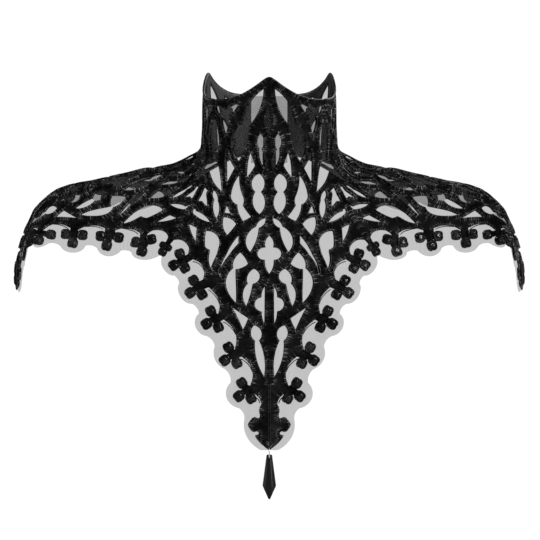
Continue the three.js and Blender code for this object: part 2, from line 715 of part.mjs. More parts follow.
function fromManifold(body) {
  const m = body.getMesh();
  const g = new THREE.BufferGeometry();
  g.setAttribute("position", new THREE.Float32BufferAttribute(m.vertProperties, 3));
  g.setIndex([...m.triVerts]);
  return g;
}
const drill = new THREE.CylinderGeometry(DROP_HOLE_R, DROP_HOLE_R, 3 * DROP_D, 12);
const dropShape = fromManifold(toManifold(dropBody()).subtract(toManifold(drill))).toNonIndexed();
dropShape.computeVertexNormals();
dropShape.translate(ringCentre[0], ringCentre[1], ringCentre[2] - RING_R - DROP_SAG);
const drop = new THREE.Mesh(dropShape, stone);
drop.name = "drop";
part.add(drop);

export default part;
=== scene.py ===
from collections import namedtuple
from math import atan2, ceil, copysign, cos, pi, radians, sin, sqrt

import bpy
import numpy as np
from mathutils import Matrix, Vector
from mathutils.geometry import delaunay_2d_cdt
from mathutils.kdtree import KDTree


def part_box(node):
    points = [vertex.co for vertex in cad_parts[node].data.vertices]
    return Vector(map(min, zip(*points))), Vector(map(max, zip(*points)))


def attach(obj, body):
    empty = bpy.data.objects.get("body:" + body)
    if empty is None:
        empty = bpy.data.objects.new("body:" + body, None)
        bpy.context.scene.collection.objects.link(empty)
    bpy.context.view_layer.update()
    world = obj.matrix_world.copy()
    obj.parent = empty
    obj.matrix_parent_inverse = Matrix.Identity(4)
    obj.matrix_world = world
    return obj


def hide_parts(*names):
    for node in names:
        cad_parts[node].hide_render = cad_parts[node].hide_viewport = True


# Lace neckpiece: tulle cut in gores, with a stitched tracery of satin ribs on it.
# Tables are in millimetres, +Z up, +X to the viewer's right, the wearer faces -Y.
# A gore is charted flat: u runs across from its centre line, v runs down from its peak.
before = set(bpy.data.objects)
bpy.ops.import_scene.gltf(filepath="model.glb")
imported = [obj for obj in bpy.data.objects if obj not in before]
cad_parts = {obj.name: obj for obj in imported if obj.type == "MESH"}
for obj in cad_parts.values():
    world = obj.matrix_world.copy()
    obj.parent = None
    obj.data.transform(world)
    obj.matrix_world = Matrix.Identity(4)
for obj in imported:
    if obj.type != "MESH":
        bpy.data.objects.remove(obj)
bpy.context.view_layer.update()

MM = 0.001

# Sizes of the drape
NECK_R = 57
HALF_GORE = 54.5
SIDE_AZ = 109
REAR_AZ = SIDE_AZ + HALF_GORE
BACK_AZ = 180
BACK_HALF = BACK_AZ - REAR_AZ
PEAK_Z = 109
CORNER_V = 155
CORNER_U = 84
BRANCH_V = 168
RAIL_END = 320
SWELL = 1.05
TULLE_DROP = 1.4
STRIP_V = 72

# Heights above the net, and how far from its edge a rib starts to sink, and for how long
TULLE_LIFT = -0.1
LACE_FLOOR = 0.5
RIB_LIFT = 1.2
RIB_VALLEY = 0.3
RIB_EDGE = 1.2
RIB_SLOPE = 2
# Where the edges down a seam start and end
LACE_SEAM_TOP = 21.5
LACE_SEAM_FOOT = 152
TULLE_SEAM_TOP = 23

# Raised lines of stitching: width, height, and the height that they start at
CORD = (2.0, 1.8, LACE_FLOOR)
SLIT_CORD = (0.8, 0.8, LACE_FLOOR - 0.3)
VEIN = (1.0, 0.7, RIB_LIFT - RIB_VALLEY)
CORD_TURNS = [0, 32, 64, 90, 116, 148, 180]
CORD_ROUND = 0.8
CORD_END = 0.02
CORD_MITRE = 0.62
CORD_INSET = 0.66
EYELET_INSET = 0.7 * CORD_INSET
SLIT_RUN = 17
SLIT_GAP = 1.85
SLIT_TAPER = 0.7
VEIN_TOP = 262
VEIN_FOOT = 313
VEIN_INSET = 0.6
LEAF_CORD_STOP = -4

# How closely the chart is followed
RUN_PITCH = 1.3
LACE_GRID = 2.4
TULLE_GRID = 3.4
HEM_PITCH = 1.6
GRID_CLEAR = 0.45
FLAT_BOW = 0.01
TEST_BLOCK = 4_000_000

# Jump ring and drop
EYELET_V = 316.2
EYELET_R = 0.85
RING_R = 5.05
RING_WIRE = 0.45
RING_PARTING = 0.03
DROP_W_TOP = 5.3
DROP_W = 12
DROP_D_TOP = 2.6
DROP_D = 6.6
DROP_BELT = 23.5
DROP_TABLE = 0.42
DROP_ABOVE_HOLE = 3.0
DROP_HOLE_R = 1.3
DRILL_SIDES = 20
DROP_BEVEL = 0.4
DROP_TIP_TRIM = 2.0


def on_collar(azimuth, radius, z):
    """A place on the collar's round, by its angle from the front."""
    a = radians(azimuth)
    return (-radius * sin(a), -radius * cos(a), z)


# Rails of the draped surface. Each row is a place down the rail: (v, (x, y, z)).
FRONT_RAIL = [
    (0, on_collar(0, 55, PEAK_Z)), (60, on_collar(0, NECK_R, 49)),
    (95, on_collar(0, 58, 14)), (125, (0, -67, -14)), (150, (0, -78, -36)),
    (200, (0, -93, -82)), (260, (0, -101, -142)), (320, (0, -104.5, -202)),
]
SEAM_RAIL = [
    (0, on_collar(HALF_GORE, 56, PEAK_Z)), (40, on_collar(HALF_GORE, NECK_R, 69)),
    (72, on_collar(HALF_GORE, 58, 37)), (95, (-56, -37, 17)), (125, (-69, -47, -7)),
    (CORNER_V, (-85, -57, -31)), (BRANCH_V, (-91, -62, -41)), (200, (-88, -80, -72)),
    (260, (-90, -94, -132)), (320, (-92, -98, -192)),
]
SIDE_RAIL = [
    (0, on_collar(SIDE_AZ, 56, PEAK_Z + 1)), (30, on_collar(SIDE_AZ, NECK_R, 80)),
    (58, on_collar(SIDE_AZ - 3, 58, 53)), (80, (-63, 10, 36)), (98, (-74, 6, 26.5)),
    (121, (-95, 0, 22)), (137, (-113, -5, 21)), (153, (-130, -11, 17.5)),
    (172, (-147, -14, 13)), (197, (-169, -16, 6.5)), (215, (-184.5, -18, 1.5)),
    (238, (-200, -23, -9.5)), (259, (-208, -30, -23)), (288, (-215.5, -34, -50)),
    (320, (-218, -38, -76)),
]
# A shoulder's front edge shares the seam's rail from corner to branch
SHOULDER_FRONT_RAIL = SEAM_RAIL[5:7] + [
    (190, (-122, -58, -52.5)), (213, (-150, -60, -62)), (243, (-190, -80, -68)),
    (320, (-214, -112, -100)),
]
SHOULDER_REAR_RAIL = [
    (0, on_collar(REAR_AZ, 56, PEAK_Z)), (40, on_collar(REAR_AZ, NECK_R, 69)),
    (72, on_collar(REAR_AZ, 58, 38)), (95, (-37, 62, 28)), (125, (-67, 63, 11)),
    (CORNER_V, (-97, 58, -9)), (190, (-135, 50, -19)), (215, (-170, 44, -27)),
    (245, (-199, 36, -50)), (320, (-212, 28, -106)),
]
# The way the cloth leaves the side gore's centre line, toward the front: (v, (x, y, z))
SIDE_LEAN = [
    (0, (-0.33, -0.94, 0)), (58, (-0.25, -0.97, -0.1)), (82, (0.1, -0.95, -0.3)),
    (98, (0.24, -0.9, -0.37)), (121, (0.18, -0.87, -0.45)), (153, (0.1, -0.8, -0.6)),
    (197, (0, -0.72, -0.69)), (230, (0, -0.8, -0.6)), (262, (0.12, -0.95, -0.3)),
    (290, (0.38, -0.9, -0.2)), (320, (0.4, -0.9, -0.2)),
]
# The way it arrives at the shoulder's front edge, past the corner
FRONT_ARRIVAL = [
    (190, (0.45, -0.35, -0.8)), (213, (0.25, -0.5, -0.83)), (243, (0, -0.6, -0.8)),
    (320, (0, -0.9, -0.4)),
]
# The way it arrives at the shoulder's rear edge
REAR_ARRIVAL = [
    (0, (0.96, 0.28, 0)), (60, (0.96, 0.28, 0)), (95, (0.72, 0.62, -0.3)),
    (125, (0.5, 0.7, -0.5)), (160, (0.3, 0.7, -0.65)), (200, (0.15, 0.55, -0.82)),
    (320, (0.05, 0.6, -0.8)),
]
# How strongly the rear half swells as it leaves the centre line
REAR_SWELL = [
    (0, 1.05), (70, 1.05), (84, 1.45), (98, 1.4), (114, 0.8), (150, 0.6), (185, 0.8),
    (210, 1.25), (238, 1.45), (270, 1.05),
]
# Half width of a gore down its length
WIDTH = [(0, HALF_GORE), (72, HALF_GORE + 0.5), (CORNER_V, CORNER_U), (400, CORNER_U)]

# Tracery of half a gore. Every opening is a ring of corners (u, v, bow):
# bow is how far the arc to the next corner swells out of the opening.
OPENINGS = {
    "lancet_tall": [(4.7, 10, 4), (23.5, 40.5, 8), (27, 72, 2.4), (17.3, 42, 3.2)],
    "arms_hood": [
        (27, 22, 0.3), (40.5, 29, 1.1), (52, 25.9, 2), (44.4, 33, 1), (40.3, 50, 1),
        (36.3, 33, 1.6),
    ],
    "pair_slim": [(7.3, 48, 2.5), (8.7, 61, 2.1), (3.5, 78, 2.1), (6.4, 61.5, 2.4)],
    "fin": [(16.5, 64, 1), (19.8, 86, 0.3), (12.2, 75.5, 0.6)],
    "kite": [(39, 62, 1.2), (38, 92, -0.3), (31.2, 78, -0.6)],
    "flame": [
        (26.5, 83, 1.8), (34.2, 103.5, 1.2), (28, 110, 1.2), (22, 124.5, 0.3),
        (15, 120.3, -0.3), (22.6, 110.3, 0.8), (22.4, 103, -1.2),
    ],
    "pair_wide": [(8.6, 82, 4.9), (12.3, 98, 4), (8, 118, 4), (7, 98, 3.9)],
    "bud": [(51.3, 99.6, 1.4), (50, 108, 2.2), (45.7, 124.5, 2), (45.8, 108.5, 1.6)],
    "star": [
        (61, 98.3, -0.6), (56.5, 101, -0.8), (57.8, 106.3, 0.3), (55.7, 115.3, 0.4),
        (61.3, 112.3, -0.3), (66, 113.8, 0.3), (63.4, 106.3, 0.2),
    ],
    "chip": [(33.3, 118.5, 0.2), (37.4, 111.3, 0.2), (39, 118.3, 0.2)],
    "heart": [(27.6, 127.5, 2), (39.5, 122, 2.4), (34.4, 138, 0.2)],
    "fish": [(51, 128.7, 2), (66.2, 122, 1.4), (69.3, 121.6, 1.4), (66.5, 125.9, 0.8)],
    "bloom": [(3, 121, 1.7), (11, 128.8, 6), (14.7, 152.5, 1.4), (8.5, 130.5, 1.9)],
    "sickle": [(25, 137, 3.2), (36.5, 174, -2.4), (24.3, 145, 0)],
    "axe": [
        (40.3, 148.5, 5.2), (54, 136.5, 0.5), (52.5, 150.5, 0.3), (48.2, 152.6, 1.2),
        (43.2, 169.5, 0),
    ],
    "wedge": [(62.3, 136, 0.3), (70.5, 135, 0.8), (60.7, 148, 0)],
    "wing": [
        (22.8, 152.5, 2.2), (26.6, 167, 6), (25, 197.3, 0.6), (24.3, 168.3, 1),
        (15.5, 163, 0.8),
    ],
    "drop_pair": [(11.3, 167, 2.2), (15.7, 180.3, 3.2), (17.3, 200, 0.5), (11.8, 180.8, 5)],
    "half_foil": [(3, 182, 0.8), (6, 192, 5.2), (6, 204.5, 0.6), (3.6, 215.5, 0)],
    "shard": [(28.5, 200.5, -0.3), (20, 219.7, 0.3), (15.8, 210, 0)],
    "long_pair": [(11.5, 215.7, 2.9), (11, 228.7, 2.3), (3.7, 258.5, 2.2), (7.5, 228.5, 3.8)],
}
# Openings on the centre line, right half of each
ON_CENTRE = {
    "lancet": [(0, 24, 3.3), (0, 48, 0)],
    "quatrefoil": [(0, 137, 1.6), (3.2, 147.8, 6), (3.5, 159.5, 1), (0, 172, 0)],
}
# The collar's upper edge, from the peak to the seam: (u, v)
TOP_EDGE = [
    (0, -0.5), (5, 2.5), (10, 6.3), (15, 9.6), (20, 12.6), (25, 15), (30, 17), (35, 18.5),
    (40, 19.3), (47, 19.9), (54.5, 20),
]
# The tall opening that each seam halves: (u, v, bow)
SEAM_OPENING = [(54.5, 35.5, 5.2), (52, 70, 1.4), (42.5, 100, 1.6), (58.2, 83.6, 0)]
# Crockets on the border: joint (u, v), facing in degrees from +u toward +v,
# upper and lower root on the rib, and the bow of the rib's scallop above it
Crocket = namedtuple("Crocket", "joint face upper lower bow")
CROCKETS = [
    Crocket((67.3, 167.3), 48, (64.6, 160.8), (59.3, 164.1), 6.5),
    Crocket((54, 186.7), 42, (49.3, 179.9), (45.3, 185.7), 6),
    Crocket((42, 211), 37, (39.3, 207), (35, 211.5), 4.2),
    Crocket((27.6, 239.8), 38, (26.3, 236), (21, 241.5), 5.3),
    Crocket((17, 269), 40, (14.3, 265.5), (11, 272.5), 5.2),
]
# A crocket's three petals: turn from its facing, reach from the joint, radius
PETALS = [(-97, 7, 4.2), (0, 8.2, 4.3), (79, 8.2, 4.2)]
# The small crocket at the foot of each front seam: its petals, a side one and the middle one,
# as (u, v, radius), and the outline of its half from the seam to the rib
SEAM_PETALS = [(81.3, 161.4, 2.75), (84, 167, 3.6)]
SEAM_CROCKET = [
    (84, 170.4), (81.4, 169.8), (80.3, 167.4), (81.5, 164.6), (79.6, 163.8), (78.6, 161.4),
    (79.6, 159), (81.9, 158.2), (81.8, 155.4), (80.5, 153),
]
SEAM_FACE = 90
SEAM_FOOT = SEAM_CROCKET[-1]
LAST_BOW = 1.5
# A petal's outline: how far round it is open, how square it is, and the dent at its root's back
PETAL_OPEN = 138
PETAL_STEPS = 15
PETAL_SQUARE = 3.0
PETAL_NOTCH = 0.1
PETAL_NOTCH_TURN = 0.22
CLEFT = 3.6
# A petal's padding: rings as shares of its radius, and how high each stands
PETAL_RINGS = [0.0, 0.3, 0.55, 0.64, 0.68, 0.77, 0.86, 0.93, 1.0, 1.0]
PETAL_RISE = [0.95, 0.93, 0.88, 0.45, 0.43, 0.68, 0.93, 0.93, 0.35, -0.4]
PETAL_FLOOR = 1.0
PETAL_H = 1.9
PETAL_FOLD = slice(1, 6)
PETAL_FOLD_SINK = 0.35
PETAL_SIDES = 24
PETAL_PROUD = 1.08
FIT_OUT = 4.0
# Round a crocket's joint the stitches are calm: none of the ticks with their painted highlight
# shows there
CALM = 4.0
CALM_REACH = 8.0
CALM_FADE = 2
# Outline of the stem and the leaf at the point: (u, v)
LEAF = [
    (6, 281), (7.6, 286.5), (6.4, 290.5), (7.4, 293.8), (10.6, 291.8), (12.2, 292.6), (15.4, 297.2),
    (15.4, 299.2), (11.8, 305), (9.4, 303.2), (7.2, 304.8), (7.6, 307.2), (11.2, 307),
    (5.2, 315.5), (0, 320),
]
# The net's scalloped hem: (u, v, bow)
HEM = [
    (84, 171.5, 0.1), (83.8, 177.3, 3), (73, 182.4, -1.2), (69.6, 187.6, 6.3), (60.3, 201.5, -1.5),
    (54.7, 208.5, 6.5), (48, 226, -1.5), (41.5, 234, 4), (33, 252, -1.5), (28.7, 263, 6.5),
    (22, 284.5, -1.3), (18.3, 294, 3.5), (9, 318, 0.8), (0, 321.6, 0),
]


# The camera comes first: the photograph's height, distance and framing
CAMERA_EL = 5.5
CAMERA_DISTANCE = 1.8
CAMERA_LENS = 136.36
SHIFT_X = 0.0013
SHIFT_Y = -0.1324


def new_object(name, data):
    made = bpy.data.objects.new(name, data)
    bpy.context.scene.collection.objects.link(made)
    return made


def add_camera():
    camera = bpy.data.cameras.new("camera")
    camera.lens = CAMERA_LENS
    camera.shift_x = SHIFT_X
    camera.shift_y = SHIFT_Y
    stand = new_object("camera", camera)
    el = radians(CAMERA_EL)
    stand.location = (0, -CAMERA_DISTANCE * cos(el), CAMERA_DISTANCE * sin(el))
    stand.rotation_euler = (pi / 2 - el, 0, 0)
    bpy.context.scene.camera = stand


add_camera()


# The draped surfaces, as functions of the chart
def rows_of(table):
    """A table of rows (v, value) as two arrays."""
    return np.array([r[0] for r in table], float), np.array([r[1] for r in table], float)


def along(table, v):
    """Smooth lookup down a rail."""
    at, value = rows_of(table)
    step = np.diff(value, axis=0) / np.diff(at)[:, None]
    a = np.diff(at)[:-1, None]
    b = np.diff(at)[1:, None] + a
    inner = (b * step[:-1] + a * step[1:]) / (a + b)
    slope = np.vstack([step[:1], inner, step[-1:]])
    q = np.clip(v, at[0], at[-1])
    i = np.clip(np.searchsorted(at, q) - 1, 0, len(at) - 2)
    h = (at[i + 1] - at[i])[:, None]
    t = (q - at[i])[:, None] / h
    return hermite(value[i], slope[i] * h, value[i + 1], slope[i + 1] * h, t)


def hermite(a, leave, b, arrive, t):
    t2 = t * t
    t3 = t2 * t
    return ((2 * t3 - 3 * t2 + 1) * a + (t3 - 2 * t2 + t) * leave
            + (3 * t2 - 2 * t3) * b + (t3 - t2) * arrive)


def level(table, v):
    """Straight lookup through rows (v, value or (x, y, z))."""
    at, value = rows_of(table)
    if value.ndim == 1:
        return np.interp(v, at, value)
    return np.stack([np.interp(v, at, value[:, k]) for k in range(3)], axis=1)


def unit(a):
    return a / np.linalg.norm(a, axis=1, keepdims=True)


def across_seam(v):
    """The way the cloth crosses the front seam, shared by the gores on both sides of it."""
    q = np.minimum(v, CORNER_V)
    return unit(along(SIDE_RAIL, q) - along(FRONT_RAIL, q))


def front_gore(u, v):
    a = along(FRONT_RAIL, v)
    b = along(SEAM_RAIL, v)
    m = np.linalg.norm(a - b, axis=1, keepdims=True) * SWELL
    leave = m * np.array([-1.0, 0.0, 0.0])
    t = (np.abs(u) / level(WIDTH, v))[:, None]
    p = hermite(a, leave, b, across_seam(v) * m, t)
    p[:, 0] = np.where(u > 0, -p[:, 0], p[:, 0])
    return p


def shoulder_gore(u, v):
    """The gore over the wearer's right shoulder, u > 0 toward the front."""
    a = along(SIDE_RAIL, v)
    front = (u >= 0)[:, None]
    on_seam = np.where((v <= BRANCH_V)[:, None], along(SEAM_RAIL, v),
                       along(SHOULDER_FRONT_RAIL, v))
    b = np.where(front, on_seam, along(SHOULDER_REAR_RAIL, v))
    m = np.linalg.norm(a - b, axis=1, keepdims=True) * SWELL
    rear_pull = -level(REAR_SWELL, v)[:, None] / SWELL
    leave = unit(level(SIDE_LEAN, v)) * np.where(front, 1.0, rear_pull) * m
    turn = np.clip((v - BRANCH_V) / (FRONT_ARRIVAL[0][0] - BRANCH_V), 0, 1)[:, None]
    to_front = unit(-across_seam(v) * (1 - turn) + level(FRONT_ARRIVAL, v) * turn)
    arrive = np.where(front, to_front, unit(level(REAR_ARRIVAL, v))) * m
    t = (np.abs(u) / level(WIDTH, v))[:, None]
    return hermite(a, leave, b, arrive, t)


def back_strip(u, v):
    """The strip between the two shoulder gores, u from the centre back."""
    a = along(SHOULDER_REAR_RAIL, np.minimum(v, STRIP_V))
    half = np.degrees(np.arctan2(-a[:, 0], a[:, 1]))
    turn = np.radians(BACK_AZ - u * half / BACK_HALF)
    r = np.hypot(a[:, 0], a[:, 1])
    drop = np.maximum(0, v - STRIP_V)
    return np.stack([-r * np.sin(turn), -r * np.cos(turn), a[:, 2] - drop], axis=1)


def on_cloth(surface, uv, lift):
    """Chart points, lifted off the cloth along its outward normal."""
    e = 0.4
    u, v = uv[:, 0], uv[:, 1]
    w = np.clip(v, e, RAIL_END - e)
    du = surface(u + e, w) - surface(u - e, w)
    dv = surface(u, w + e) - surface(u, w - e)
    lift = np.broadcast_to(lift, u.shape)[:, None]
    return surface(u, v) + unit(np.cross(dv, du)) * lift


# Curves in the chart
FLIP = np.array([-1.0, 1.0])


def pairs(u, v):
    """Chart points from their two coordinates, where either may be one number."""
    return np.stack(np.broadcast_arrays(u, v), axis=1)


def arc(a, b, bow, side, pitch=RUN_PITCH):
    """Points of an arc from a up to but not including b, swelling by bow to one side."""
    a = np.array(a[:2], float)
    b = np.array(b[:2], float)
    c = np.linalg.norm(b - a)
    s = abs(bow)
    half = 2 * atan2(2 * s, c)
    r = (c * c / 4 + s * s) / (2 * s) if s > FLAT_BOW else 0
    n = max(2, ceil((2 * half * r if r else c) / pitch))
    k = np.arange(n) / n
    if not r:
        return a + (b - a) * k[:, None]
    normal = np.array([b[1] - a[1], a[0] - b[0]]) / c * side
    th = -half + 2 * half * k
    f = 0.5 + r * np.sin(th) / c
    y = (r * np.cos(th) - (r - s)) * copysign(1, bow)
    return a + (b - a) * f[:, None] + normal * y[:, None]


def signed_area(run):
    after = np.roll(run, -1, axis=0)
    return float(np.sum(run[:, 0] * after[:, 1] - after[:, 0] * run[:, 1])) / 2


def ring(corners):
    """A closed ring of arcs, run so that its inside is on the left."""
    turns_left = signed_area(np.array([c[:2] for c in corners], float)) > 0
    side = 1 if turns_left else -1
    after = corners[1:] + corners[:1]
    run = np.vstack([arc(c, d, c[2], side) for c, d in zip(corners, after)])
    return run if turns_left else run[::-1]


def open_run(corners, side, pitch=RUN_PITCH):
    parts = [arc(c, d, c[2], side, pitch) for c, d in zip(corners, corners[1:])]
    return np.vstack(parts + [np.array([corners[-1][:2]], float)])


def mirror_u(run):
    """The same curve on the other half of the gore, still with its inside on the left."""
    return run[::-1] * FLIP


def lengths(run):
    """How far along an open line each of its points is."""
    return np.r_[0, np.cumsum(np.linalg.norm(np.diff(run, axis=0), axis=1))]


def smooth(table, rounds=2):
    """A table's open line with its corners cut and its ends kept, its points at an even pitch."""
    run = np.array(table, float)
    for _ in range(rounds):
        near = run[:-1] * 0.75 + run[1:] * 0.25
        far = run[:-1] * 0.25 + run[1:] * 0.75
        cut = np.stack([near, far], axis=1).reshape(-1, 2)
        run = np.vstack([run[:1], cut[1:-1], run[-1:]])
    length = lengths(run)
    n = max(2, ceil(length[-1] / RUN_PITCH) + 1)
    at = np.linspace(0, length[-1], n)
    return np.stack([np.interp(at, length, run[:, k]) for k in range(2)], axis=1)


def true_fit(surface, half, u, v):
    """What turns true millimetres into chart ones at a place on one half of a gore."""
    e = 0.5
    u = half * u
    at = np.array([(u - e, v), (u + e, v), (u, v - e), (u, v + e)])
    p = surface(at[:, 0], at[:, 1])
    pull = np.stack([half * (p[1] - p[0]), p[3] - p[2]]) / (2 * e)
    size, way = np.linalg.eigh(pull @ pull.T)
    return way @ np.diag(size ** -0.5) @ way.T


def fitted(surface, half, crocket):
    """A crocket set on the cloth: joint, fit and petals as (centre, own fit, facing, radius)."""
    joint = np.array(crocket.joint, float)
    out = radians(crocket.face)
    middle = joint + FIT_OUT * np.array([cos(out), sin(out)])
    fit = true_fit(surface, half, *middle)
    lobes = []
    for turn, reach, r in PETALS:
        a = radians(crocket.face + turn)
        centre = joint + reach * np.array([cos(a), sin(a)]) @ fit
        lobes.append((centre, true_fit(surface, half, *centre), a, r))
    return joint, fit, lobes


def petal_reach(turn, r):
    """Radius of a petal's slightly square outline at an angle from its facing."""
    n = PETAL_SQUARE
    off = np.abs((turn + pi) % (2 * pi) - pi)
    dent = 1 - PETAL_NOTCH * np.exp(-(off / PETAL_NOTCH_TURN) ** 2)
    return r * dent / (np.abs(np.cos(turn)) ** n + np.abs(np.sin(turn)) ** n) ** (1 / n)


def spoke(turn, reach):
    return pairs(reach * np.cos(turn), reach * np.sin(turn))


def crocket_edge(joint, fit, lobes):
    """Outline of a fitted crocket from its upper to its lower root, with clefts between petals."""
    parts = []
    before = None
    for centre, own_fit, a, r in lobes:
        if before is not None:
            parts.append(joint + spoke(np.array([(before + a) / 2]), CLEFT) @ fit)
        w = np.radians(np.linspace(-PETAL_OPEN, PETAL_OPEN, PETAL_STEPS))
        parts.append(centre + spoke(a + w, petal_reach(w, r)) @ own_fit)
        before = a
    return np.vstack(parts)


def scallops():
    """The border's hollow arcs, from the seam's foot to the leaf."""
    starts = [SEAM_FOOT] + [c.lower for c in CROCKETS]
    ends = [c.upper for c in CROCKETS] + [LEAF[0]]
    bows = [c.bow for c in CROCKETS] + [LAST_BOW]
    return [np.vstack([arc(a, b, bow, -1), [b]]) for a, b, bow in zip(starts, ends, bows)]


def to_seam(table, *rows):
    """A table's corners, with those of some rows moved on to the seam."""
    corners = [list(c) for c in table]
    for k in rows:
        corners[k][0] = float(level(WIDTH, corners[k][1]))
    return corners


def seam_notch():
    return open_run(to_seam(SEAM_OPENING, 0, 3), -1)


def seam_line(first, last):
    v = np.linspace(first, last, max(2, round((last - first) / RUN_PITCH / 2)))
    return pairs(level(WIDTH, v), v)


def top_run(drop=0.0):
    return smooth(TOP_EDGE, 1) + np.array([0.0, drop])


def lace_half(notched, crockets):
    """Outline of half the lace: peak, upper edge, seam, border, point."""
    parts = [top_run()]
    if notched:
        notch = seam_notch()
        foot = seam_line(notch[-1][1], SEAM_CROCKET[0][1])
        parts += [seam_line(LACE_SEAM_TOP, notch[0][1])[:-1], notch, foot[1:-1]]
        parts.append(smooth(SEAM_CROCKET)[:-1])
    else:
        parts.append(seam_line(LACE_SEAM_TOP, LACE_SEAM_FOOT))
    hollow = scallops()
    for arc_run, made in zip(hollow, crockets):
        parts += [arc_run, crocket_edge(*made)]
    parts += [hollow[-1][:-1], smooth(LEAF)]
    return np.vstack(parts)


def tulle_outline():
    hem = open_run(to_seam(HEM, 0), 1, HEM_PITCH)
    half = np.vstack([top_run(TULLE_DROP), seam_line(TULLE_SEAM_TOP, CORNER_V), hem])
    return whole(half, half)


def whole(right, left):
    """Both halves of an outline that starts and ends on the centre line."""
    return np.vstack([right[:-1], mirror_u(left)[:-1]])


def centre_rings():
    rings = []
    for corners in ON_CENTRE.values():
        half = open_run(corners, 1)
        run = whole(half, half)
        rings.append(run if signed_area(run) > 0 else run[::-1])
    return rings


def round_ring(u, v, r, sides=14):
    a = np.linspace(0, 2 * pi, sides, endpoint=False)
    return pairs(u + r * np.cos(a), v + r * np.sin(a))


# Meshes from the chart
def inside(points, rings):
    """Which points are inside an odd number of rings."""
    odd = np.zeros(len(points), bool)
    for run in rings:
        near = np.flatnonzero(((points >= run.min(0)) & (points <= run.max(0))).all(1))
        for block in np.array_split(near, max(1, len(near) * len(run) // TEST_BLOCK)):
            x, y = points[block].T[:, :, None]
            ax, ay = run.T
            bx, by = np.roll(run, -1, axis=0).T
            spans = (ay > y) != (by > y)
            rise = np.where(by == ay, 1.0, by - ay)
            hit = spans & (x < (bx - ax) * (y - ay) / rise + ax)
            odd[block] ^= hit.sum(1) % 2 == 1
    return odd


def nearest(places, points):
    """Index of, and distance to, the nearest place for every point."""
    tree = KDTree(len(places))
    for i, (u, v) in enumerate(places):
        tree.insert((u, v, 0), i)
    tree.balance()
    found = [tree.find((u, v, 0)) for u, v in points]
    return np.array([f[1] for f in found]), np.array([f[2] for f in found])


def fill(rings, grid):
    """Points and triangles of the chart between the first ring and the others."""
    edge = np.vstack(rings)
    low, high = edge.min(0), edge.max(0)
    us = np.arange(low[0], high[0], grid)
    vs = np.arange(low[1], high[1], grid * sqrt(3) / 2)
    uu, vv = np.meshgrid(us, vs)
    uu = uu + (np.arange(len(vs)) % 2)[:, None] * grid / 2
    points = pairs(uu.ravel(), vv.ravel())
    points = points[inside(points, rings)]
    points = points[nearest(edge, points)[1] > grid * GRID_CLEAR]
    loops = []
    start = 0
    for run in rings:
        n = len(run)
        loops += [(start + k, start + (k + 1) % n) for k in range(n)]
        start += n
    every = [Vector(p) for p in np.vstack([edge, points])]
    made = delaunay_2d_cdt(every, loops, [], 0, 1e-5)
    uv = np.array([tuple(p) for p in made[0]])
    tris = np.array([f for f in made[2] if len(f) == 3])
    return uv, tris[inside(uv[tris].mean(1), rings)]


def rim_of(tris):
    """Directed edges that only one triangle has."""
    edges = np.vstack([tris[:, [0, 1]], tris[:, [1, 2]], tris[:, [2, 0]]])
    taken = set(map(tuple, edges.tolist()))
    return np.array([e for e in edges.tolist() if (e[1], e[0]) not in taken])


def edge_marks(rings):
    """Middle, direction and arc length of every short edge of the rings."""
    middle, way, reach = [], [], []
    for run in rings:
        after = np.roll(run, -1, axis=0)
        step = np.maximum(np.linalg.norm(after - run, axis=1), 1e-6)
        middle.append((run + after) / 2)
        way.append((after - run) / step[:, None])
        reach.append(np.cumsum(step) - step / 2)
    return np.vstack(middle), np.vstack(way), np.concatenate(reach)


def stitched_uv(uv, tris, rings):
    """For each corner: how far along the nearest edge it lies, and how far from it."""
    middle, way, reach = edge_marks(rings)
    index, _ = nearest(middle, uv[tris].mean(1))
    off = uv[tris] - middle[index][:, None, :]
    w = way[index][:, None, :]
    run = (off * w).sum(2) + reach[index][:, None]
    away = np.abs(off[..., 0] * w[..., 1] - off[..., 1] * w[..., 0])
    return np.stack([run, away], axis=2)


def joint_distance(places):
    """How far chart places are from the nearest crocket joint, on either half."""
    joints = np.array([c.joint for c in CROCKETS] + [SEAM_PETALS[0][:2]], float)
    off = np.abs(places)[..., None, :] - joints
    return np.sqrt((off ** 2).sum(-1)).min(-1)


def lace_web(name, surface, outline, holes, mirrored):
    """The flat of the embroidery: a thin closed wall, lower along the middle of each rib, and
    backed on its wrong side."""
    rings = [outline] + holes
    uv, tris = fill(rings, LACE_GRID)
    away = nearest(np.vstack(rings), uv)[1]
    sink = RIB_VALLEY * np.clip((away - RIB_EDGE) / RIB_SLOPE, 0, 1)
    top = on_cloth(surface, uv, RIB_LIFT - sink)
    floor = on_cloth(surface, uv, LACE_FLOOR)
    n = len(uv)
    stitch = stitched_uv(uv, tris, rings)
    calm = (CALM_REACH - joint_distance(uv[tris])) / CALM_FADE
    stitch[..., 1] += CALM * np.clip(calm, 0, 1)
    walls = [(b, a, a + n, b + n) for a, b in rim_of(tris)]
    faces = tris.tolist() + (tris[:, ::-1] + n).tolist()
    corners = np.vstack([stitch.reshape(-1, 2), stitch[:, ::-1].reshape(-1, 2),
                         np.zeros((4 * len(walls), 2))])
    made = mixed_piece(name, [top, floor], faces + walls, rib_satin, corners, mirrored)
    made.data.materials.append(backing)
    turned = [0] * len(tris) + [1] * len(tris) + [0] * len(walls)
    made.data.polygons.foreach_set("material_index", turned)
    return made


def plain_piece(name, points, faces, material):
    mesh = bpy.data.meshes.new(name)
    mesh.from_pydata(np.asarray(points).tolist(), [], faces)
    mesh.materials.append(material)
    mesh.update()
    return new_object(name, mesh)


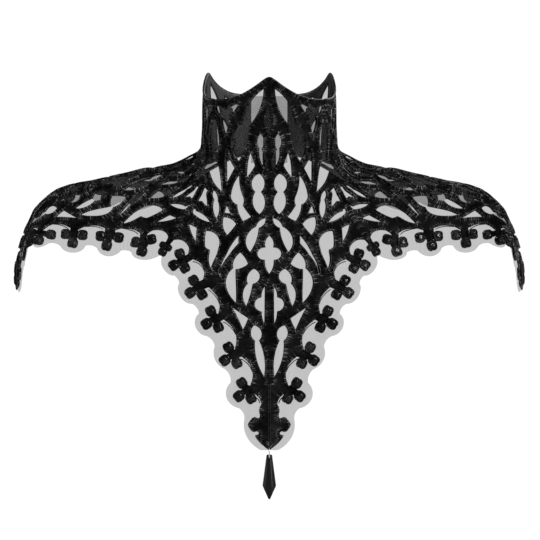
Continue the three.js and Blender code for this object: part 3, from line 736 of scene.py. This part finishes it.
def mixed_piece(name, points, faces, material, corners, mirrored):
    """A piece of triangles and four-sided faces, with a flat list of corner pairs."""
    points = np.vstack(points) * MM * np.array([-1.0 if mirrored else 1.0, 1.0, 1.0])
    corners = np.array(corners)
    if not mirrored:
        sizes = np.array([len(f) for f in faces])
        starts = np.cumsum(sizes) - sizes
        order = np.concatenate([np.arange(s + k - 1, s - 1, -1) for s, k in zip(starts, sizes)])
        corners = corners[order]
        faces = [f[::-1] for f in faces]
    made = plain_piece(name, points, faces, material)
    layer = made.data.uv_layers.new(name="stitch")
    layer.data.foreach_set("uv", np.ascontiguousarray(corners, np.float32).ravel())
    made.data.polygons.foreach_set("use_smooth", [True] * len(faces))
    made.data.update()
    return made


def quads(rows, columns, closed=False):
    """The faces of a tube's grid, each as four pairs of row and column."""
    for r in range(rows if closed else rows - 1):
        q = (r + 1) % rows
        for c in range(columns):
            d = (c + 1) % columns
            yield (r, c), (r, d), (q, d), (q, c)


def tube_faces(rows, columns):
    """An open tube's faces and its two end caps."""
    faces = [tuple(r * columns + c for r, c in quad) for quad in quads(rows, columns)]
    caps = [tuple(range(columns))[::-1], tuple(range((rows - 1) * columns, rows * columns))]
    return faces, caps


def stations(run, closed):
    """Sideways unit vectors of a line, lengthened at corners, and arc lengths."""
    out = np.roll(run, -1, axis=0) - run
    into = np.roll(out, 1, axis=0)
    if not closed:
        out[-1] = out[-2]
        into[0] = out[0]
    length = np.linalg.norm(out, axis=1)
    into, out = unit(into + 1e-9), unit(out + 1e-9)
    way = unit(into + out + 1e-9)
    mitre = 1 / np.clip((way * out).sum(1), CORD_MITRE, 1)
    side = np.stack([way[:, 1], -way[:, 0]], axis=1) * mitre[:, None]
    return side, np.r_[0, np.cumsum(length if closed else length[:-1])]


def cords(name, surface, runs, material, section, mirrored=False):
    """Raised satin cords with a half-round section. A run is (points, closed, inset)."""
    width, height, base = section
    turn = np.radians(CORD_TURNS)
    across = np.cos(turn) * width / 2
    rise = np.sin(turn) ** CORD_ROUND * height
    columns = len(turn)
    points, faces, corners = [], [], []
    start = 0
    for run, closed, inset in runs:
        side, reach = stations(run, closed)
        n = len(run)
        swell = np.ones(n)
        if not closed:
            ends = np.minimum(reach, reach[-1] - reach) / width
            swell = np.sqrt(np.clip(ends, CORD_END, 1))
        offset = np.atleast_1d(inset)[:, None] + across[None, :] * swell[:, None]
        uv = run[:, None, :] + side[:, None, :] * offset[:, :, None]
        lift = base + rise[None, :] * swell[:, None]
        points.append(on_cloth(surface, uv.reshape(-1, 2), lift.ravel()))
        for (k, c), _, (j, d), _ in quads(n, columns, closed):
            a, b = start + k * columns, start + j * columns
            faces.append((a + c, b + c, b + d, a + d))
            s, t, x, y = reach[k], reach[k + 1], across[c], across[d]
            corners += [(s, x), (t, x), (t, y), (s, y)]
        start += n * columns
    return mixed_piece(name, points, faces, material, corners, mirrored)


def seam_petals(surface, half, spots):
    """Petals of the small crocket at the foot of a front seam."""
    for u, v, r in spots:
        fit = true_fit(surface, half, min(u, CORNER_U - 1), v)
        yield half, np.array([u, v]), fit, radians(SEAM_FACE), r


def petals(name, surface, lobes, mirrored):
    """Padded satin lobes, each given as (half, centre, fit, facing, radius)."""
    turn = np.linspace(0, 2 * pi, PETAL_SIDES, endpoint=False)
    rise = np.repeat(np.array(PETAL_RISE[1:])[:, None], PETAL_SIDES, axis=1)
    rise[PETAL_FOLD, 0] -= PETAL_FOLD_SINK
    lift = PETAL_FLOOR + PETAL_H * np.r_[PETAL_RISE[0], rise.ravel()]
    points, faces, corners = [], [], []
    for half, centre, fit, a, r in lobes:
        start = sum(len(p) for p in points)
        reach = petal_reach(turn, r) * PETAL_PROUD
        rows = [spoke(a + turn, f * reach) for f in PETAL_RINGS[1:]]
        uv = centre + np.vstack([np.zeros((1, 2))] + rows) @ fit
        points.append(on_cloth(surface, uv * np.array([half, 1.0]), lift))
        for face, marks in petal_faces(start, turn, r):
            faces.append(face if half > 0 else face[::-1])
            corners += marks if half > 0 else marks[::-1]
    return mixed_piece(name, points, faces, petal_satin, corners, mirrored)


def petal_faces(start, turn, r):
    """Faces of one lobe, with how far round and how far out each corner is."""
    for k in range(PETAL_SIDES):
        j = (k + 1) % PETAL_SIDES
        s, t = turn[k] * r, (turn[k] + 2 * pi / PETAL_SIDES) * r
        first = PETAL_RINGS[1] * r
        yield (start, start + 1 + k, start + 1 + j), [((s + t) / 2, 0.0), (s, first), (t, first)]
        for row in range(len(PETAL_RINGS) - 2):
            a = start + 1 + row * PETAL_SIDES
            b = a + PETAL_SIDES
            near, far = PETAL_RINGS[row + 1] * r, PETAL_RINGS[row + 2] * r
            yield (a + k, b + k, b + j, a + j), [(s, near), (s, far), (t, far), (t, near)]


# Finishes
def add_node(tree, kind, inputs=None, **settings):
    made = tree.nodes.new("ShaderNode" + kind)
    for key, value in settings.items():
        setattr(made, key, value)
    for key, value in (inputs or {}).items():
        set_socket(made.inputs[key], value)
    return made


def set_socket(socket, value):
    """Link a socket to another, or set its own value. A colour comes without its alpha."""
    if isinstance(value, bpy.types.NodeSocket):
        socket.id_data.links.new(value, socket)
    elif socket.type == "RGBA":
        socket.default_value = (*value, 1)
    else:
        socket.default_value = value


def start_material(name, **sockets):
    made = bpy.data.materials.new(name)
    made.use_nodes = True
    shader = made.node_tree.nodes["Principled BSDF"]
    feed(shader, **sockets)
    return made, made.node_tree, shader


def feed(shader, **sockets):
    for key, value in sockets.items():
        set_socket(shader.inputs[key.replace("_", " ")], value)


def math_node(tree, operation, a, b=0.0):
    return add_node(tree, "Math", {0: a, 1: b}, operation=operation).outputs[0]


def times(tree, a, b):
    return math_node(tree, "MULTIPLY", a, b)


def plus(tree, a, b):
    return math_node(tree, "ADD", a, b)


def range_node(tree, *ranges):
    """A value's range carried over to another: value, from low, from high, to low, to high."""
    return add_node(tree, "MapRange", dict(enumerate(ranges))).outputs[0]


def mixed_colour(tree, amount, first, second):
    return add_node(tree, "Mix", {"Factor": amount, "A": first, "B": second},
                    data_type="RGBA").outputs["Result"]


def noise(tree, scale, detail=2.0, place=None):
    """Soft noise in the piece's own space, or over the places given."""
    place = place or add_node(tree, "TexCoord").outputs["Object"]
    return add_node(tree, "TexNoise", {
        "Vector": place, "Scale": scale, "Detail": detail}).outputs[0]


def bumped(tree, height, strength, distance):
    return add_node(tree, "Bump", {
        "Height": height, "Strength": strength, "Distance": distance}).outputs[0]


def stitch_map(tree):
    return add_node(tree, "UVMap", uv_map="stitch").outputs[0]


# Satin: its ticks' pulse and strength, its patches and grain, and how far each stands out. The
# ticks are real stitch relief, made paler in the colour by a painted highlight
TICK_PULSE = (0.1, 0.26)
TICK_LEAST = 0.3
TICK_LEFT = 0.1
PATCH_RANGE = (0.42, 0.64)
SHEEN_STREAK_RANGE = (0.4, 0.64)
PATCH_SCALE = 75.0
GRAIN_SCALE = 1900.0
THREADS_PER_TICK = 3
TICK_HEIGHT = 2.2
THREAD_HEIGHT = 0.3
GRAIN_HEIGHT = 0.6
STITCH_DEPTH = 0.00022
SMOOTHER = 0.08
ROUGHER = 0.1
BLACK = (0.0012, 0.0012, 0.0013)
# Painted sheen: a paler tone laid in streaks, where light would run along the satin
SHEEN = (0.009, 0.009, 0.0097)
# The two tick colours are painted highlights, light glinting on the black binding stitches, fainter
# on the petals
TICK_GLINT = (0.2, 0.2, 0.206)
FAINT_TICK_GLINT = (0.05, 0.05, 0.054)
TICK_PITCH = 1.6
TICK_STRAY = 0.8


def binding_ticks_and_glints(tree, run, away, patch, pitch, fade):
    """Stitches that bind a rib's edge, whose mask gives them relief and a painted highlight that
    makes them paler: each has its own strength, and they fade inward.
    """
    count = times(tree, run, 1 / pitch)
    own = add_node(tree, "TexWhiteNoise", {"W": math_node(tree, "FLOOR", count)},
                   noise_dimensions="1D")
    middle = math_node(tree, "SUBTRACT", math_node(tree, "FRACT", count), 0.5)
    pulse = range_node(tree, math_node(tree, "ABSOLUTE", middle), *TICK_PULSE, 1.0, 0.0)
    near = range_node(tree, away, *fade, 1.0, TICK_LEFT)
    strength = range_node(tree, own.outputs[0], TICK_LEAST, 1.0)
    # Patches where the ticks carry their painted highlight
    lit = range_node(tree, patch, *PATCH_RANGE, TICK_LEFT, 1.0)
    return times(tree, times(tree, times(tree, pulse, near), strength), lit)


def satin(name, tick_glint, pitch, fade, roughness, gloss, relief):
    """Black satin stitch: fine threads across the rib, binding ticks by its edges made paler by a
    painted highlight, and a painted sheen in streaks over the black.
    """
    made, tree, shader = start_material(name, Specular_IOR_Level=gloss)
    split = add_node(tree, "SeparateXYZ", {0: stitch_map(tree)}).outputs
    patch = noise(tree, PATCH_SCALE, 3.0)
    grain = noise(tree, GRAIN_SCALE, 1.0)
    run = plus(tree, split[0], times(tree, patch, TICK_STRAY))
    # The ticks' mask raises their relief and paints their highlight into the colour
    ticks = binding_ticks_and_glints(tree, run, split[1], patch, pitch, fade)
    # Painted sheen, laid in streaks over the black ground
    sheen_streak = times(tree, range_node(tree, patch, *SHEEN_STREAK_RANGE, 0.0, 1.0), grain)
    ground = mixed_colour(tree, sheen_streak, BLACK, SHEEN)
    turns = times(tree, run, 2 * pi * THREADS_PER_TICK / pitch)
    thread = times(tree, math_node(tree, "SINE", turns), THREAD_HEIGHT)
    height = plus(tree, times(tree, ticks, TICK_HEIGHT), thread)
    height = plus(tree, height, times(tree, grain, GRAIN_HEIGHT))
    feed(shader, Base_Color=mixed_colour(tree, ticks, ground, tick_glint),
         Roughness=range_node(tree, patch, 0.0, 1.0, roughness - SMOOTHER, roughness + ROUGHER),
         Normal=bumped(tree, height, relief, STITCH_DEPTH))
    return made


# Net: the size of a cell, and how much of the cloth's black its threads and cells show
TULLE_CELL = 0.95
TULLE_CLEAR = 0.37
TULLE_THREAD = 0.62
TULLE_EDGE = (-0.9, 0.1)
TULLE_DARK = (0.008, 0.008, 0.0085)
TULLE_PALE = (0.02, 0.02, 0.021)
TULLE_SHADE_SCALE = 0.05


def tulle_material():
    """Fine black net: a honeycomb of threads, mostly clear between them."""
    made, tree, shader = start_material("black_tulle", Roughness=0.8, Specular_IOR_Level=0.1)
    uv = stitch_map(tree)
    waves = []
    for turn in (0, 60, 120):
        a = radians(turn)
        k = 2 * pi / (TULLE_CELL * cos(radians(30)))
        along_way = add_node(tree, "VectorMath", {
            0: uv, 1: (k * cos(a), k * sin(a), 0)}, operation="DOT_PRODUCT")
        waves.append(math_node(tree, "COSINE", along_way.outputs["Value"]))
    comb = plus(tree, plus(tree, waves[0], waves[1]), waves[2])
    shade = noise(tree, TULLE_SHADE_SCALE, place=uv)
    feed(shader, Base_Color=mixed_colour(tree, shade, TULLE_DARK, TULLE_PALE),
         Alpha=range_node(tree, comb, *TULLE_EDGE, TULLE_THREAD, TULLE_CLEAR))
    return made


# The other finishes: colours, scale of the noise in them, range of roughness, relief
BACKING_DARK = (0.09, 0.09, 0.093)
BACKING_PALE = (0.17, 0.17, 0.175)
BACKING_SCALE = 1500.0
BACKING_RELIEF = (0.3, 0.0002)
STEEL = (0.43, 0.43, 0.42)
STEEL_SCALE = 900.0
STEEL_ROUGH = (0.16, 0.36)
STEEL_RELIEF = (0.15, 0.0001)
STONE_DARK = (0.002, 0.002, 0.0025)
STONE_PALE = (0.006, 0.006, 0.007)
STONE_SCALE = 160.0
STONE_ROUGH = (0.04, 0.13)


def backing_material():
    """The matte wrong side of the embroidery."""
    made, tree, shader = start_material("matte_backing", Roughness=0.9, Specular_IOR_Level=0.05)
    fuzz = noise(tree, BACKING_SCALE)
    feed(shader, Base_Color=mixed_colour(tree, fuzz, BACKING_DARK, BACKING_PALE),
         Normal=bumped(tree, fuzz, *BACKING_RELIEF))
    return made


def steel_material():
    made, tree, shader = start_material("polished_steel", Metallic=1.0, Base_Color=STEEL)
    worn = noise(tree, STEEL_SCALE, 4.0)
    feed(shader, Roughness=range_node(tree, worn, 0.0, 1.0, *STEEL_ROUGH),
         Normal=bumped(tree, worn, *STEEL_RELIEF))
    return made


def stone_material():
    made, tree, shader = start_material("black_stone", Specular_IOR_Level=0.08, IOR=1.5)
    cloud = noise(tree, STONE_SCALE)
    feed(shader, Base_Color=mixed_colour(tree, cloud, STONE_DARK, STONE_PALE),
         Roughness=range_node(tree, cloud, 0.0, 1.0, *STONE_ROUGH))
    return made


# Each satin: its ticks' painted highlight colour, pitch and fade from the edge, roughness, gloss
# and relief
rib_satin = satin("rib_satin", TICK_GLINT, TICK_PITCH, (1.9, 3.6), 0.5, 0.018, 0.8)
cord_satin = satin("cord_satin", TICK_GLINT, TICK_PITCH, (5.0, 6.0), 0.22, 0.1, 0.1)
petal_satin = satin("petal_satin", FAINT_TICK_GLINT, 1.3, (3.5, 4.5), 0.16, 0.1, 0.1)
backing = backing_material()
tulle_black = tulle_material()
steel = steel_material()
stone = stone_material()


# The three gores
def tulle(name, surface, outline, holes, mirrored):
    uv, tris = fill([outline] + holes, TULLE_GRID)
    points = on_cloth(surface, uv, TULLE_LIFT)
    return mixed_piece(name, points, tris.tolist(), tulle_black, uv[tris].reshape(-1, 2), mirrored)


def half_runs(notched):
    """Cord lines of half a gore: (points, closed, inset), inset on the right of travel."""
    edges = [top_run()]
    if notched:
        edges.append(seam_notch())
    edges += scallops() + [smooth(LEAF)[:LEAF_CORD_STOP]]
    runs = [(ring(c), True, CORD_INSET) for c in OPENINGS.values()]
    return runs + [(e, False, -CORD_INSET) for e in edges]


def other_half(runs):
    return [(r * FLIP, closed, -inset) for r, closed, inset in runs]


def vein_runs():
    """Two fine cords down the middle of the stem and the leaf, with a groove between them."""
    v = np.arange(VEIN_TOP, VEIN_FOOT, RUN_PITCH)
    return [(pairs(0, v), False, side * VEIN_INSET) for side in (1, -1)]


def slit_runs():
    """The thin cord that leaves the rib under each crocket, with a slit behind it."""
    runs = []
    for scallop in scallops()[1:]:
        reach = lengths(scallop)
        part = scallop[reach <= SLIT_RUN]
        gap = SLIT_GAP * (1 - reach[:len(part)] / SLIT_RUN) ** SLIT_TAPER
        runs.append((part, False, gap))
    return runs


def gore(label, surface, whole_front, holes, mirrored):
    """Flat embroidery, raised lines, petals and net of one gore. The front gore has a seam's
    opening and small crocket on both its halves, and a shoulder gore on its front half alone."""
    crockets = {half: [fitted(surface, half, c) for c in CROCKETS] for half in (1, -1)}
    edge = whole(lace_half(True, crockets[1]), lace_half(whole_front, crockets[-1]))
    one_side = [ring(c) for c in OPENINGS.values()]
    openings = one_side + [mirror_u(r) for r in one_side] + centre_rings() + holes
    made = {"web": lace_web(f"{label}_lace_web", surface, edge, openings, mirrored)}
    raised = half_runs(True) + other_half(half_runs(whole_front))
    raised += [(r, True, CORD_INSET) for r in centre_rings()]
    raised += [(h, True, EYELET_INSET) for h in holes]
    slits = slit_runs() + other_half(slit_runs())
    lines = [("cords", raised, cord_satin, CORD), ("slit_cords", slits, cord_satin, SLIT_CORD),
             ("veins", vein_runs(), petal_satin, VEIN)]
    for key, runs, finish, section in lines:
        made[key] = cords(f"{label}_lace_{key}", surface, runs, finish, section, mirrored)
    rows = [(half, *lobe) for half in (1, -1) for c in crockets[half] for lobe in c[2]]
    rows += seam_petals(surface, 1, SEAM_PETALS if whole_front else SEAM_PETALS[:1])
    if whole_front:
        rows += seam_petals(surface, -1, SEAM_PETALS)
    made["petals"] = petals(f"{label}_lace_petals", surface, rows, mirrored)
    made["tulle"] = tulle(f"{label}_tulle", surface, tulle_outline(), holes, mirrored)
    declare_gore(made, label)


def declare_gore(made, label):
    """Hide the model's lace and net of a gore, which its pieces stand for, and hang the pieces on
    the neckpiece.
    """
    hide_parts(f"{label}_lace")
    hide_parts(f"{label}_net")
    for key, one in made.items():
        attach(one, "neckpiece")


eyelet = round_ring(0, EYELET_V, EYELET_R)
gore("front", front_gore, True, [eyelet], False)
gore("right_shoulder", shoulder_gore, False, [], False)
gore("left_shoulder", shoulder_gore, False, [], True)


# The back strip and its closure
BACK_TOP = 21.4
BACK_FOOT = 83
TAPE_W = 12
TAPE_TOP = 24
TAPE_FOOT = 88
TAPE_FLOOR = 0.5
TAPE_H = 1.6
TAPE_COLUMNS = 13
TAPE_ROWS = 34
TAPE_SQUARE = 6
TAPE_END = 1.2
TAPE_END_LEAST = 0.05
FOLD_DEPTH = 0.35
FOLD_W = 0.07
TOPSTITCH = (0.55, 0.45, TAPE_FLOOR + TAPE_H - 0.15)
TOPSTITCH_U = 4.7
TOPSTITCH_TOP = TAPE_TOP + 2
TOPSTITCH_FOOT = TAPE_FOOT - 4
TOPSTITCH_PITCH = 3.2
TOPSTITCH_STEP = 0.55
TOPSTITCH_POINTS = 5
BACK_STATIONS = 20


def back_tulle():
    v = np.linspace(BACK_TOP, BACK_FOOT, BACK_STATIONS)
    outline = np.vstack([pairs(BACK_HALF, v), pairs(-BACK_HALF, v[::-1])])
    return tulle("back_tulle", back_strip, outline, [], False)


def closure_tape():
    """A folded tape with rounded edges and a line down its middle, closed all round."""
    columns = np.linspace(-1, 1, TAPE_COLUMNS)
    shape = (1 - np.abs(columns) ** TAPE_SQUARE) ** 0.5
    fold = 1 - FOLD_DEPTH * np.exp(-(columns / FOLD_W) ** 2)
    v = np.linspace(TAPE_TOP, TAPE_FOOT, TAPE_ROWS)
    from_end = np.minimum(v - TAPE_TOP, TAPE_FOOT - v)
    ends = np.clip(from_end / TAPE_END, TAPE_END_LEAST, 1) ** 0.5
    across = np.r_[columns, columns[::-1]] * TAPE_W / 2
    rise = np.r_[shape * fold * TAPE_H, np.zeros(len(columns))]
    n = len(across)
    uv = pairs(np.tile(across, len(v)), np.repeat(v, n))
    lift = TAPE_FLOOR + (ends[:, None] * rise[None, :]).ravel()
    points = on_cloth(back_strip, uv, lift)
    faces, caps = tube_faces(len(v), n)
    corners = [(v[r], across[c]) for quad in quads(len(v), n) for r, c in quad]
    corners += [(v[0], x) for x in across[::-1]] + [(v[-1], x) for x in across]
    return mixed_piece("back_closure_tape", points, faces + caps, cord_satin, corners, False)


def tape_stitches():
    runs = []
    steps = TOPSTITCH_STEP * np.arange(TOPSTITCH_POINTS)
    for u in (-TOPSTITCH_U, TOPSTITCH_U):
        for v in np.arange(TOPSTITCH_TOP, TOPSTITCH_FOOT, TOPSTITCH_PITCH):
            runs.append((pairs(u, v + steps), False, 0.0))
    return cords("back_closure_stitches", back_strip, runs, cord_satin, TOPSTITCH)


back = back_tulle()
tape = closure_tape()
topstitch = tape_stitches()
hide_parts("back_net")
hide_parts("back_closure")
for one, slot in ((back, "net"), (tape, "tape"), (topstitch, "tape")):
    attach(one, "neckpiece")


# Jump ring and drop
def jump_ring():
    """A round wire ring whose ends meet at its top, with a fine gap between them."""
    around, about = 72, 16
    low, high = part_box("jump_ring")
    a = np.repeat(np.linspace(RING_PARTING, 2 * pi - RING_PARTING, around), about)
    b = np.tile(2 * pi * np.arange(about) / about, around)
    r = RING_R + RING_WIRE * np.cos(b)
    points = np.stack([RING_WIRE * np.sin(b), r * np.sin(a), r * np.cos(a)], axis=1)
    faces, caps = tube_faces(around, about)
    faces += [c[::-1] for c in caps]
    points = points * MM + np.array((low + high) / 2)
    made = plain_piece("jump_ring_wire", points, faces, steel)
    made.data.polygons.foreach_set("use_smooth", [len(f) == 4 for f in faces])
    return made


def drill_for(place):
    """A round bar through the drop, from front to back, that cuts its hole."""
    circle = round_ring(0, 0, DROP_HOLE_R, DRILL_SIDES) * MM
    points = [(x, y, z) for y in (-DROP_D * MM, DROP_D * MM) for x, z in circle]
    faces, caps = tube_faces(2, DRILL_SIDES)
    return plain_piece("drill", np.array(points) + np.array(place), faces + caps, stone)


def drop_stone():
    """Faceted drop: a flat table front and back, pierced near its top, and drawn to a point
    that its edges' bevel trims."""
    low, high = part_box("drop")
    belt = high.z - (DROP_BELT + DROP_ABOVE_HOLE) * MM
    middle = (low.y + high.y) / 2
    rows = [(high.z, DROP_W_TOP, DROP_D_TOP), (belt, DROP_W, DROP_D)]
    points = []
    for z, w, d in rows:
        t = DROP_TABLE * w
        section = [(w / 2, 0), (t / 2, d / 2), (-t / 2, d / 2), (-w / 2, 0), (-t / 2, -d / 2),
                   (t / 2, -d / 2)]
        points += [(x * MM, y * MM + middle, z) for x, y in section]
    points.append((0, middle, low.z - DROP_TIP_TRIM * MM))
    n = len(section)
    faces = [tuple(range(n))]
    for k in range(n):
        j = (k + 1) % n
        faces += [(k, n + k, n + j, j), (n + k, 2 * n, n + j)]
    made = plain_piece("drop_stone", points, faces, stone)
    bevel = made.modifiers.new("edges", "BEVEL")
    bevel.width = DROP_BEVEL * MM
    bevel.limit_method = "ANGLE"
    drill = drill_for((0, middle, high.z - DROP_ABOVE_HOLE * MM))
    hole = made.modifiers.new("hole", "BOOLEAN")
    hole.operation = "DIFFERENCE"
    hole.object = drill
    graph = bpy.context.evaluated_depsgraph_get()
    cut = bpy.data.meshes.new_from_object(made.evaluated_get(graph))
    made.modifiers.clear()
    made.data = cut
    bpy.data.objects.remove(drill)
    return made


for hard, node, body, slot in ((jump_ring(), "jump_ring", "ring", "ring"),
                               (drop_stone(), "drop", "drop", "stone")):
    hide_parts(node)
    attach(hard, body)


# Floor, light and backdrop
FLOOR_Z = -0.9
FLOOR_HALF = 6.0
FLOOR_DARK = (0.93, 0.93, 0.93)
FLOOR_PALE = (0.95, 0.95, 0.95)
FLOOR_SCALE = 3.0


def pale_floor():
    corners = [(-1, -1), (1, -1), (1, 1), (-1, 1)]
    points = [(x * FLOOR_HALF, y * FLOOR_HALF, FLOOR_Z) for x, y in corners]
    made, tree, shader = start_material("pale_floor", Roughness=0.9)
    feed(shader, Base_Color=mixed_colour(tree, noise(tree, FLOOR_SCALE), FLOOR_DARK, FLOOR_PALE))
    plain_piece("floor", points, [(0, 1, 2, 3)], made)


# Soft distant lights: name, the way they come from, angle in degrees and strength
LIGHTS = [
    ("key", (0.62, -0.6, 0.62), 8, 4.0),
    ("side", (-1.0, -0.02, -0.03), 30, 0.45),
    ("low", (0.698, -0.716, -0.046), 10, 0.25),
    ("top", (0.0, -0.2, 1.0), 25, 0.3),
    ("rim", (0.3, 0.8, 0.6), 30, 0.8),
]
SKY_LOW = 1.05
SKY_HIGH = 0.12
SKY_FADE = 0.14


def sky():
    """A pale sky, as bright as the floor at the horizon and darker overhead."""
    world = bpy.data.worlds.new("studio")
    world.use_nodes = True
    tree = world.node_tree
    way = add_node(tree, "TexCoord").outputs["Generated"]
    up = add_node(tree, "SeparateXYZ", {0: way}).outputs[2]
    feed(tree.nodes["Background"], Color=(1, 1, 1),
         Strength=range_node(tree, up, 0.0, SKY_FADE, SKY_LOW, SKY_HIGH))
    bpy.context.scene.world = world


def studio():
    for name, way, angle, strength in LIGHTS:
        lamp = bpy.data.lights.new(name, "SUN")
        lamp.angle = radians(angle)
        lamp.energy = strength
        turn = (-Vector(way)).to_track_quat("-Z", "Y")
        new_object(name, lamp).rotation_euler = turn.to_euler()
    sky()
    bpy.context.scene.view_settings.view_transform = "Standard"


pale_floor()
studio()
